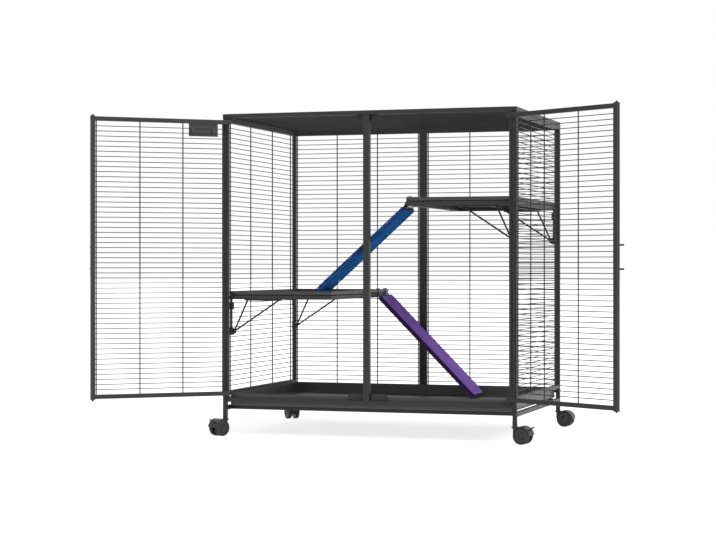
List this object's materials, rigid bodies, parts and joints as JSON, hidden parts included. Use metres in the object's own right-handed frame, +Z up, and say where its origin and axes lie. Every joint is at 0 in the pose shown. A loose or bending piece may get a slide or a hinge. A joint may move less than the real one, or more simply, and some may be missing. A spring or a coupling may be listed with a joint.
{
  "type": "ferret cage",
  "caption": "Tall wire pet cage on casters with a square-tube frame, two hinged front doors with slide latches, two half-width shelves with pans and covered ramps.",
  "frame": {"origin": "on the floor, under the middle of the rectangle of the four corner posts", "axes": "+X to the right seen from the front, +Y from the front to the back, +Z up"},
  "size_m": [1.5858, 0.9633, 0.978],
  "materials": {
    "hammered_charcoal_paint": "hammered charcoal, satin",
    "dark_grey_pan_plastic": "smooth, satin",
    "black_plastic": "moulded, matt",
    "caster_plastic": "moulded, satin",
    "zinc_plated_steel": "bright zinc plate",
    "name_plate_enamel": "plain, satin",
    "ramp_board": "bare board",
    "blue_fleece": "napped fleece",
    "purple_fleece": "napped fleece"
  },
  "bodies": {
    "cage": {"corner_posts": "hammered_charcoal_paint", "post_plugs": "black_plastic", "leg_sockets": "black_plastic", "left_side_panel": "hammered_charcoal_paint", "right_side_panel": "hammered_charcoal_paint", "back_left_panel": "hammered_charcoal_paint", "back_right_panel": "hammered_charcoal_paint", "roof_panel": "hammered_charcoal_paint", "roof_bolts": "zinc_plated_steel", "panel_bolts": "zinc_plated_steel", "centre_post": "hammered_charcoal_paint", "front_sill": "hammered_charcoal_paint", "base_frame": "hammered_charcoal_paint", "base_pan": "dark_grey_pan_plastic", "top_door_stop": "hammered_charcoal_paint", "bottom_door_stop": "hammered_charcoal_paint", "hinge_plates": "hammered_charcoal_paint", "caster_stems": "zinc_plated_steel", "left_shelf": "hammered_charcoal_paint", "left_shelf_pan": "dark_grey_pan_plastic", "right_shelf": "hammered_charcoal_paint", "right_shelf_pan": "dark_grey_pan_plastic", "shelf_brackets": "black_plastic", "shelf_struts": "hammered_charcoal_paint"},
    "left_door": {"left_door": "hammered_charcoal_paint", "left_hinge_rod": "hammered_charcoal_paint", "left_latch_guides": "black_plastic", "left_latch_spring": "zinc_plated_steel", "name_plate": "name_plate_enamel", "name_plate_screws": "name_plate_enamel"},
    "left_upper_latch": {"left_upper_latch_rod": "hammered_charcoal_paint"},
    "left_lower_latch": {"left_lower_latch_rod": "hammered_charcoal_paint"},
    "right_door": {"right_door": "hammered_charcoal_paint", "right_hinge_rod": "hammered_charcoal_paint", "right_latch_guides": "black_plastic", "right_latch_spring": "zinc_plated_steel"},
    "right_upper_latch": {"right_upper_latch_rod": "hammered_charcoal_paint"},
    "right_lower_latch": {"right_lower_latch_rod": "hammered_charcoal_paint"},
    "upper_ramp": {"upper_ramp_board": "ramp_board", "upper_ramp_cover": "blue_fleece", "upper_ramp_hooks": "zinc_plated_steel"},
    "lower_ramp": {"lower_ramp_board": "ramp_board", "lower_ramp_cover": "purple_fleece", "lower_ramp_hooks": "zinc_plated_steel"},
    "front_left_caster": {"front_left_hood": "caster_plastic", "front_left_axle": "caster_plastic"},
    "front_left_wheels": {"front_left_wheels": "caster_plastic"},
    "front_right_caster": {"front_right_hood": "caster_plastic", "front_right_axle": "caster_plastic"},
    "front_right_wheels": {"front_right_wheels": "caster_plastic"},
    "back_left_caster": {"back_left_hood": "caster_plastic", "back_left_axle": "caster_plastic"},
    "back_left_wheels": {"back_left_wheels": "caster_plastic"},
    "back_right_caster": {"back_right_hood": "caster_plastic", "back_right_axle": "caster_plastic"},
    "back_right_wheels": {"back_right_wheels": "caster_plastic"},
    "front_left_brake": {"front_left_brake": "caster_plastic"},
    "front_right_brake": {"front_right_brake": "caster_plastic"}
  },
  "joints": [
    {"name": "left_door_hinge", "type": "hinge", "parent": "cage", "child": "left_door", "pos_m": [-0.4388, -0.31815, 0.54], "axis": [0, 0, -1], "range_deg": [-140.7, 39.3]},
    {"name": "right_door_hinge", "type": "hinge", "parent": "cage", "child": "right_door", "pos_m": [0.4388, -0.31815, 0.54], "axis": [0, 0, 1], "range_deg": [-147, 33]},
    {"name": "left_upper_latch_slide", "type": "slide", "parent": "left_door", "child": "left_upper_latch", "axis": [0, 0, 1], "range_m": [0, 0.008], "deforming": ["left_latch_spring"]},
    {"name": "left_lower_latch_slide", "type": "slide", "parent": "left_door", "child": "left_lower_latch", "axis": [0, 0, -1], "range_m": [0, 0.008]},
    {"name": "right_upper_latch_slide", "type": "slide", "parent": "right_door", "child": "right_upper_latch", "axis": [0, 0, 1], "range_m": [0, 0.008], "deforming": ["right_latch_spring"]},
    {"name": "right_lower_latch_slide", "type": "slide", "parent": "right_door", "child": "right_lower_latch", "axis": [0, 0, -1], "range_m": [0, 0.008]},
    {"name": "upper_ramp_lift", "type": "hinge", "parent": "cage", "child": "upper_ramp", "pos_m": [0.119, -0.238, 0.7192], "axis": [0, 1, 0], "range_deg": [0, 12]},
    {"name": "lower_ramp_lift", "type": "hinge", "parent": "cage", "child": "lower_ramp", "pos_m": [-0.116, 0.224, 0.4392], "axis": [0, -1, 0], "range_deg": [0, 12]},
    {"name": "front_left_swivel", "type": "hinge", "parent": "cage", "child": "front_left_caster", "pos_m": [-0.45065, -0.31115, 0.05], "axis": [0, 0, 1], "continuous": true},
    {"name": "front_left_wheel_spin", "type": "hinge", "parent": "front_left_caster", "child": "front_left_wheels", "pos_m": [-0.462, -0.33343, 0.025], "axis": [0.891, -0.454, 0], "continuous": true},
    {"name": "front_left_brake_lever", "type": "hinge", "parent": "front_left_caster", "child": "front_left_brake", "pos_m": [-0.47291, -0.35484, 0.04378], "axis": [-0.891, 0.454, 0], "range_deg": [0, 20]},
    {"name": "front_right_swivel", "type": "hinge", "parent": "cage", "child": "front_right_caster", "pos_m": [0.45065, -0.31115, 0.05], "axis": [0, 0, 1], "continuous": true},
    {"name": "front_right_wheel_spin", "type": "hinge", "parent": "front_right_caster", "child": "front_right_wheels", "pos_m": [0.47527, -0.31549, 0.025], "axis": [0.1736, 0.9848, 0], "continuous": true},
    {"name": "front_right_brake_lever", "type": "hinge", "parent": "front_right_caster", "child": "front_right_brake", "pos_m": [0.49894, -0.31966, 0.04378], "axis": [-0.1736, -0.9848, 0], "range_deg": [0, 20]},
    {"name": "back_left_swivel", "type": "hinge", "parent": "cage", "child": "back_left_caster", "pos_m": [-0.45065, 0.31115, 0.05], "axis": [0, 0, 1], "continuous": true},
    {"name": "back_left_wheel_spin", "type": "hinge", "parent": "back_left_caster", "child": "back_left_wheels", "pos_m": [-0.46672, 0.3303, 0.025], "axis": [-0.766, -0.6428, 0], "continuous": true},
    {"name": "back_right_swivel", "type": "hinge", "parent": "cage", "child": "back_right_caster", "pos_m": [0.45065, 0.31115, 0.05], "axis": [0, 0, 1], "continuous": true},
    {"name": "back_right_wheel_spin", "type": "hinge", "parent": "back_right_caster", "child": "back_right_wheels", "pos_m": [0.47556, 0.30897, 0.025], "axis": [0.0872, 0.9962, 0], "continuous": true}
  ]
}
